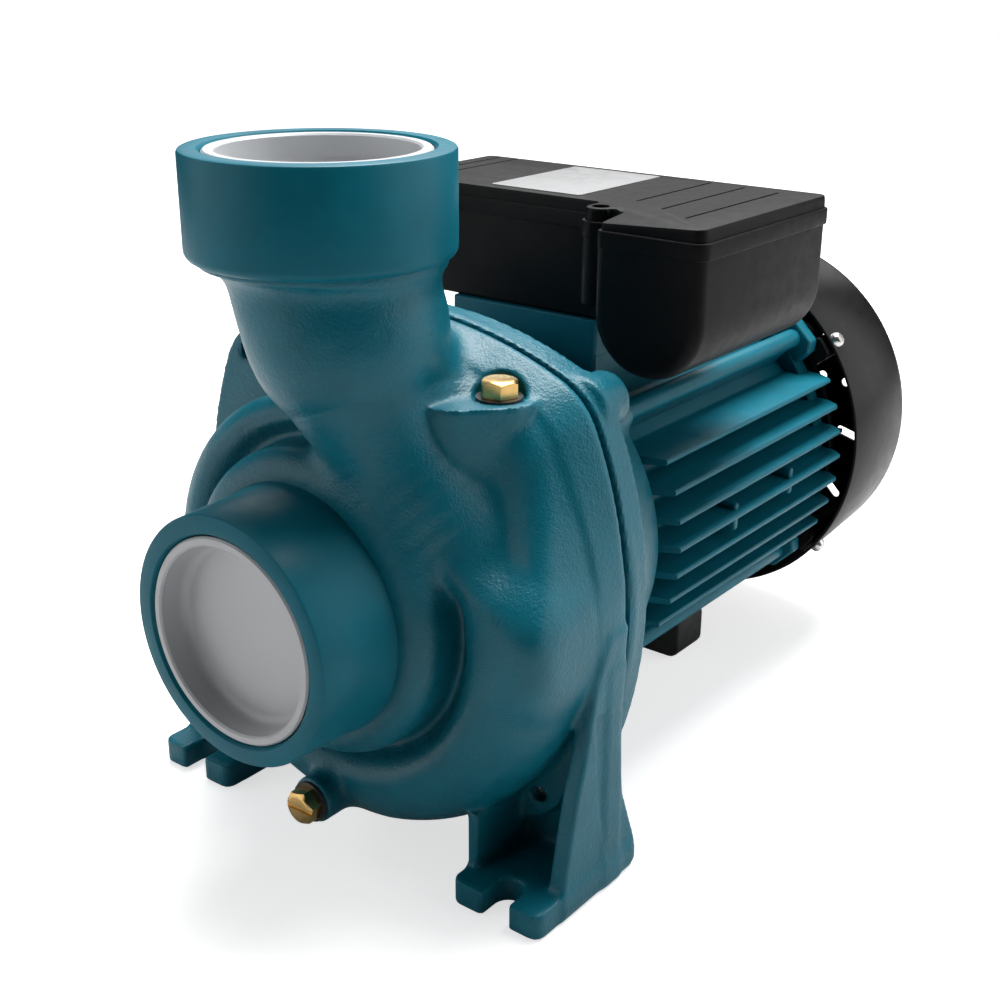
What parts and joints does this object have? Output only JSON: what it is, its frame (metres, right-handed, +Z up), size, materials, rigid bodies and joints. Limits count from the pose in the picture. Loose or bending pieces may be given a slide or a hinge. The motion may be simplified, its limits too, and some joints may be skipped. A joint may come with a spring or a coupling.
{
  "type": "centrifugal water pump",
  "caption": "Close-coupled electric centrifugal water pump: cast scroll casing with threaded suction and discharge ports, slotted feet, finned motor, fan cover and terminal box.",
  "frame": {"origin": "on the floor, below the middle of the pump's length and width; the shaft and the discharge port's axis both lie in the plane x = 0", "axes": "+Z up, out of the discharge port; -Y out of the suction port; +Y along the shaft towards the fan; +X towards the fill plug's side"},
  "size_m": [0.2286, 0.4366, 0.3064],
  "materials": {
    "teal_enamel": "gloss enamel over a cast surface",
    "white_plastic": "satin",
    "brass": "machined",
    "zinc_steel": "zinc plated",
    "machined_steel": "ground",
    "laminated_steel": "stacked laminations",
    "copper_winding": "varnished copper wire",
    "black_rubber": "matt",
    "carbon": "lapped carbon and fibre",
    "black_plastic": "fine moulded texture",
    "fan_cover_paint": "satin black paint",
    "capacitor_case": "smooth",
    "plate_label": "plain foil label with no text"
  },
  "bodies": {
    "pump": {"pump_casing": "teal_enamel", "drain_plug_washer": "carbon", "fill_plug_washer": "carbon", "casing_o_ring": "black_rubber", "motor_bracket": "teal_enamel", "casing_bolt_1": "zinc_steel", "casing_bolt_2": "zinc_steel", "casing_bolt_3": "zinc_steel", "casing_bolt_4": "zinc_steel", "seal_seat": "carbon", "front_bearing_outer_race": "machined_steel", "rear_bearing_outer_race": "machined_steel", "bearing_wave_spring": "machined_steel", "motor_housing": "teal_enamel", "stator_core": "laminated_steel", "front_winding_head": "copper_winding", "rear_winding_head": "copper_winding", "rear_end_shield": "black_plastic", "fan_cover": "fan_cover_paint", "fan_cover_screw_1": "zinc_steel", "fan_cover_screw_2": "zinc_steel", "fan_cover_screw_3": "zinc_steel", "fan_cover_screw_4": "zinc_steel", "tie_rod_1": "zinc_steel", "tie_rod_2": "zinc_steel", "tie_rod_3": "zinc_steel", "tie_rod_4": "zinc_steel", "motor_support_foot": "black_rubber", "support_foot_screw": "zinc_steel", "terminal_box": "black_plastic", "terminal_box_gasket": "black_rubber", "capacitor": "capacitor_case", "terminal_block": "white_plastic", "cable_gland": "black_plastic"},
    "rotating_group": {"motor_shaft": "machined_steel", "impeller": "brass", "impeller_key": "machined_steel", "impeller_washer": "zinc_steel", "impeller_nut": "brass", "seal_rotating_head": "machined_steel", "seal_spring": "machined_steel", "slinger_ring": "black_rubber", "front_bearing_inner_race": "machined_steel", "rear_bearing_inner_race": "machined_steel", "rotor_core": "laminated_steel", "cooling_fan": "black_plastic", "fan_circlip": "machined_steel"},
    "front_bearing_balls": {"front_bearing_ball_cage": "brass"},
    "rear_bearing_balls": {"rear_bearing_ball_cage": "brass"},
    "fill_plug": {"fill_plug": "brass"},
    "drain_plug": {"drain_plug": "brass"},
    "suction_cap": {"suction_port_cap": "white_plastic"},
    "discharge_cap": {"discharge_port_cap": "white_plastic"},
    "box_lid": {"terminal_box_lid": "black_plastic", "rating_plate": "plate_label"},
    "lid_screw_right": {"lid_screw_1": "zinc_steel"},
    "lid_screw_left": {"lid_screw_2": "zinc_steel"}
  },
  "joints": [
    {"name": "shaft_spin", "type": "hinge", "parent": "pump", "child": "rotating_group", "pos_m": [0, 0.04335, 0.1211], "axis": [0, 1, 0], "continuous": true},
    {"name": "front_bearing_roll", "type": "hinge", "parent": "pump", "child": "front_bearing_balls", "pos_m": [0, -0.04665, 0.1211], "axis": [0, 1, 0], "continuous": true},
    {"name": "rear_bearing_roll", "type": "hinge", "parent": "pump", "child": "rear_bearing_balls", "pos_m": [0, 0.12535, 0.1211], "axis": [0, 1, 0], "continuous": true},
    {"name": "fill_plug_out", "type": "slide", "parent": "pump", "child": "fill_plug", "axis": [0, 0, 1], "range_m": [0, 0.03]},
    {"name": "drain_plug_out", "type": "slide", "parent": "pump", "child": "drain_plug", "axis": [0, -1, 0], "range_m": [0, 0.03]},
    {"name": "suction_cap_out", "type": "slide", "parent": "pump", "child": "suction_cap", "axis": [0, -1, 0], "range_m": [0, 0.04]},
    {"name": "discharge_cap_out", "type": "slide", "parent": "pump", "child": "discharge_cap", "axis": [0, 0, 1], "range_m": [0, 0.04]},
    {"name": "lid_off", "type": "slide", "parent": "pump", "child": "box_lid", "axis": [0, 0, 1], "range_m": [0, 0.05]},
    {"name": "lid_screw_right_out", "type": "slide", "parent": "box_lid", "child": "lid_screw_right", "axis": [0, 0, 1], "range_m": [0, 0.025]},
    {"name": "lid_screw_left_out", "type": "slide", "parent": "box_lid", "child": "lid_screw_left", "axis": [0, 0, 1], "range_m": [0, 0.025]}
  ],
  "couplings": [
    {"joint": "front_bearing_roll", "follows": "shaft_spin", "ratio": 0.4},
    {"joint": "rear_bearing_roll", "follows": "shaft_spin", "ratio": 0.4}
  ]
}
